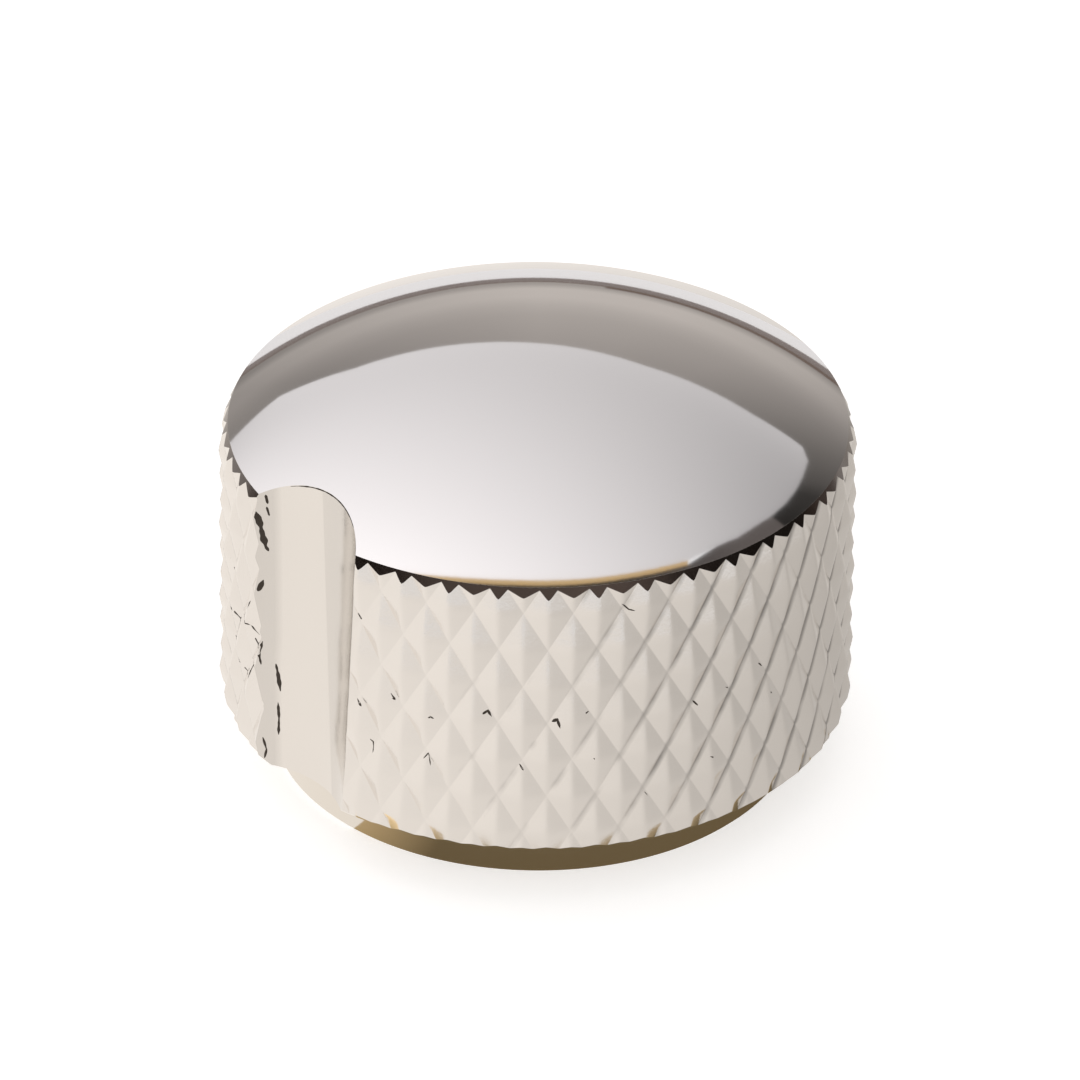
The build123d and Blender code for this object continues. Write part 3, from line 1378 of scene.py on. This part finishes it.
@dataclass
class Studio:
    """The pale floor, the softbox, the reflecting cards, the world and the camera."""

    floor_half: float = 3000 * MM
    softbox_height: float = 300 * MM
    near_corner: tuple[tuple[float, float], ...] = ((254, 148), (225, 104), (206, 76), (182, 50))
    world_light: float = 0.55
    # The camera, fitted to the outline and edges of the photographed knob
    camera_distance: float = 388.5 * MM
    camera_elevation: float = 32.314
    camera_aim_height: float = 0.55 * KNOB_RADIUS
    camera_pitch: float = 0.189
    camera_yaw: float = -0.013
    camera_roll: float = 0.594
    lens: float = 431.7
    sensor: float = 36.0

    def stage_piece(self, name: str, corners: list[tuple[float, float, float]], finish: Glow | PaleFloor,
                    faces: list[tuple[int, ...]] | None = None, seen: bool = False,
                    lights: bool = True) -> None:
        """Args:
            name: its name.
            corners: its corners, in metres.
            finish: its finish.
            faces: its faces, by the numbers of their corners; None for one face through all of them.
            seen: whether the camera sees it and it casts a shadow.
            lights: whether it lights matt surfaces.
        """
        mesh = bpy.data.meshes.new(name)
        mesh.from_pydata(corners, [], faces or [list(range(len(corners)))])
        piece = link_mesh(name, mesh, finish.build())
        piece.visible_camera = seen
        piece.visible_shadow = seen
        piece.visible_diffuse = lights

    def floor(self) -> None:
        """Lays the floor."""
        size = self.floor_half
        corners = [(-size, -size, 0), (size, -size, 0), (size, size, 0), (-size, size, 0)]
        self.stage_piece("floor", corners, PaleFloor(), seen=True)

    def hang(self, name: str, outline: list[tuple[float, float]], finish: Glow, lights: bool) -> None:
        """Hangs a flat sheet at the softbox's height.

        Args:
            name: its name.
            outline: X and Y of its corners, in millimetres.
            finish: its finish.
            lights: whether it lights matt surfaces.
        """
        corners = [(x * MM, y * MM, self.softbox_height) for x, y in outline]
        self.stage_piece(name, corners, finish, lights=lights)

    def softbox(self) -> None:
        """Hangs the softbox, whose far edge and right end are the ones seen in the dome."""
        # Placed by following its reflection in the photograph back from the dome, then adjusted
        far_edge = [(-600, 983), (-236, 595), (-52, 496), (113, 420), (250, 408), (340, 425)]
        right_end = [(343, 381), (320, 304), (299, 243), (279, 196), *self.near_corner]
        left_end = [(-360, 110), (-430, 280), (-480, 450), (-560, 720)]
        self.hang("softbox", far_edge + right_end + self.near_edge() + left_end, SoftboxLight(), True)

    def near_edge(self, nearer: float = 0.0) -> list[tuple[float, float]]:
        """The softbox's near edge, seen along the rim of the knob, more bent on the right.

        Args:
            nearer: how far to shift it towards the camera, in millimetres.

        Returns:
            X and Y in millimetres, from right to left.
        """
        nearest, right_bend, left_bend = -42.0, 0.0025, 0.0017
        right, left, steps = 150.0, -220.0, 30
        spots = [right + (left - right) * k / steps for k in range(steps + 1)]
        return [(x, nearest + (right_bend if x > 0 else left_bend) * x * x - nearer) for x in spots]

    def valance(self) -> None:
        """Hangs the warm strip beside the softbox's near edge and the dark ceiling before it."""
        strip_width, half_width, left_y, front_y = 6.0, 900, 40, -1500
        near, warm_edge = self.near_edge(), self.near_edge(strip_width)
        right_y = self.near_corner[0][1]
        ceiling = [*warm_edge, (-half_width, left_y), (-half_width, front_y), (half_width, front_y),
                   (half_width, right_y), *self.near_corner]
        self.hang("warm_strip", near + warm_edge[::-1], Glow("warm_strip", (0.62, 0.42, 0.19)), False)
        self.hang("ceiling", ceiling, CeilingShade(), False)

    def sheen(self) -> None:
        """Lays the sheets that only the metal's reflections see on the floor."""
        steps, lift = 96, 0.01 * MM
        shade_from, shade_sweep = -44, 204
        far_from, far_sweep = 70, 220
        near_reach, right_pull, far_reach = 205 * MM, 120 * MM, 890 * MM
        light, shade = FloorSheen(), FloorShade()
        disc = [around(light.reach, 360 * k / steps, lift) for k in range(steps)]
        sector = [around(shade.reach, shade_from + shade_sweep * k / steps, 2 * lift)
                  for k in range(steps + 1)]
        sector.append(Vector((0, 0, 2 * lift)))
        turns = [far_from + far_sweep * k / steps for k in range(steps + 1)]
        near = [around(near_reach - right_pull * max(0.0, math.sin(math.radians(turn))), turn, 2 * lift)
                for turn in turns]
        far = [around(far_reach, turn, 2 * lift) for turn in turns]
        for name, corners, finish in (
                ("floor_sheen", disc, light), ("floor_shade", sector, shade),
                ("far_floor", near + far[::-1], Glow("far_floor", (0.24, 0.205, 0.19)))):
            self.stage_piece(name, [tuple(corner) for corner in corners], finish, lights=False)

    def card(self, name: str, azimuths: tuple[float, float], elevations: tuple[float, float], distance: float,
             finish: Glow) -> None:
        """Stands a curved card round the knob.

        Args:
            name: its name.
            azimuths: where it starts and ends, in degrees from +Y towards +X.
            elevations: its lower and upper edge, in degrees above the floor.
            distance: how far away it stands.
            finish: its finish.
        """
        steps = 24
        low, high = (distance * math.tan(math.radians(e)) for e in elevations)
        corners, faces = [], []
        for k in range(steps + 1):
            angle = math.radians(azimuths[0] + (azimuths[1] - azimuths[0]) * k / steps)
            across, away = distance * math.sin(angle), distance * math.cos(angle)
            corners += [(across, away, low), (across, away, high)]
        for k in range(steps):
            faces.append((2 * k, 2 * k + 2, 2 * k + 3, 2 * k + 1))
        self.stage_piece(name, corners, finish, faces, lights=False)

    def cards(self) -> None:
        """Stands the cards that the dome, the shoulder and the knurl show."""
        room = RoomTone()
        left, right, split, horizon = -100, 110, 4, 0.6
        self.card("room_card", (left, right), (horizon, 48), room.distance, room)
        foot = Glow("foot_card", (0.16, 0.12, 0.10))
        self.card("foot_card", (left, split), (0.0, horizon), room.distance, foot)
        self.card("right_foot_card", (split, right), (0.0, 1.6), room.distance - 5 * MM, foot)
        self.card("dark_card", (100, 260), (9, 30), room.distance, Glow("dark_card", (0.035, 0.027, 0.024)))

    def world(self) -> None:
        """Lights the room evenly, white where the camera and reflections meet it."""
        world = bpy.data.worlds.new("room")
        bpy.context.scene.world = world
        world.use_nodes = True
        world.node_tree.nodes.clear()
        graph = Graph(world.node_tree)
        seen = graph.node("ShaderNodeLightPath", output="Is Camera Ray")
        for ray in ("Is Glossy Ray", "Is Transmission Ray"):
            seen = seen.math("MAXIMUM", graph.node("ShaderNodeLightPath", output=ray))
        light = graph.node("ShaderNodeBackground", {}, {
            "Color": rgba(1, 1, 1), "Strength": self.world_light + seen * (1 - self.world_light)})
        graph.node("ShaderNodeOutputWorld", {}, {"Surface": light})

    def camera(self) -> None:
        """Sets the camera at the photograph's viewing angle."""
        elevation = math.radians(self.camera_elevation)
        back = Vector((0, -math.cos(elevation), math.sin(elevation)))
        right = Vector((1, 0, 0))
        up = back.cross(right)
        turn = (Matrix.Rotation(math.radians(self.camera_yaw), 3, up)
                @ Matrix.Rotation(math.radians(self.camera_pitch), 3, right))
        place = Vector((0, 0, self.camera_aim_height)) + back * self.camera_distance
        back, right, up = turn @ back, turn @ right, turn @ up
        roll = Matrix.Rotation(math.radians(self.camera_roll), 3, back)
        axes = Matrix((roll @ right, roll @ up, back)).transposed()
        data = bpy.data.cameras.new("camera")
        data.lens = self.lens
        data.sensor_width = self.sensor
        data.clip_start = 0.001
        data.clip_end = 100
        seen = bpy.data.objects.new("camera", data)
        seen.matrix_world = Matrix.Translation(place) @ axes.to_4x4()
        bpy.context.scene.collection.objects.link(seen)
        bpy.context.scene.camera = seen

    def build(self) -> None:
        """Sets up the whole studio."""
        self.floor()
        self.softbox()
        self.valance()
        self.sheen()
        self.cards()
        self.world()
        self.camera()
        bpy.context.scene.view_settings.view_transform = "Standard"


# Name, colour, roughness, its spread, grain size and grain depth
BODY_FINISHES = {
    Region.DOME: Nickel("dome_polish", (0.88, 0.865, 0.87), 0.055, 0.02, 0.9 * MM, 0.0003 * MM),
    Region.EDGE: Nickel("edge_polish", (0.84, 0.80, 0.74), 0.10, 0.04, 0.4 * MM, 0.0005 * MM),
    # The shoulder's near-black colour is a painted reflection; the real shoulder is nickel like the rest
    Region.SHOULDER: Nickel("shoulder_shade", (0.16, 0.135, 0.12), 0.14, 0.06, 0.4 * MM, 0.001 * MM),
    Region.KNURL: KnurlNickel("knurl_nickel", (0.885, 0.858, 0.83), 0.15, 0.08, 0.35 * MM, 0.004 * MM),
    Region.CHANNEL: ChannelNickel("channel_nickel", (0.86, 0.832, 0.80), 0.16, 0.06, 0.5 * MM, 0.002 * MM),
    Region.COLLAR: Nickel("collar_nickel", (0.84, 0.80, 0.74), 0.14, 0.06, 0.4 * MM, 0.002 * MM),
    Region.BORE: Nickel("bore_nickel", (0.72, 0.68, 0.62), 0.32, 0.12, 0.25 * MM, 0.004 * MM),
}
SCREW_FINISH = DarkSteel("screw_steel", (0.10, 0.10, 0.105), 1.0, 0.42)
# The marks' dark colour is a painted reflection of dark surroundings in small flaws and edges
CRACK_FINISH = DarkSteel("crack_shade", (0.05, 0.035, 0.022), 0.0, 0.6)


def main() -> None:
    """Builds the knob and its studio."""
    logging.basicConfig(level=logging.INFO, format="%(message)s")
    body = TurnedBody()
    for part in (body, SetScrew(), FlawAndReflectionMarks(body)):
        piece = part.build()
        LOG.info("%s: %d faces", piece.name, len(piece.data.polygons))
    Studio().build()


if __name__ == "__main__":
    main()
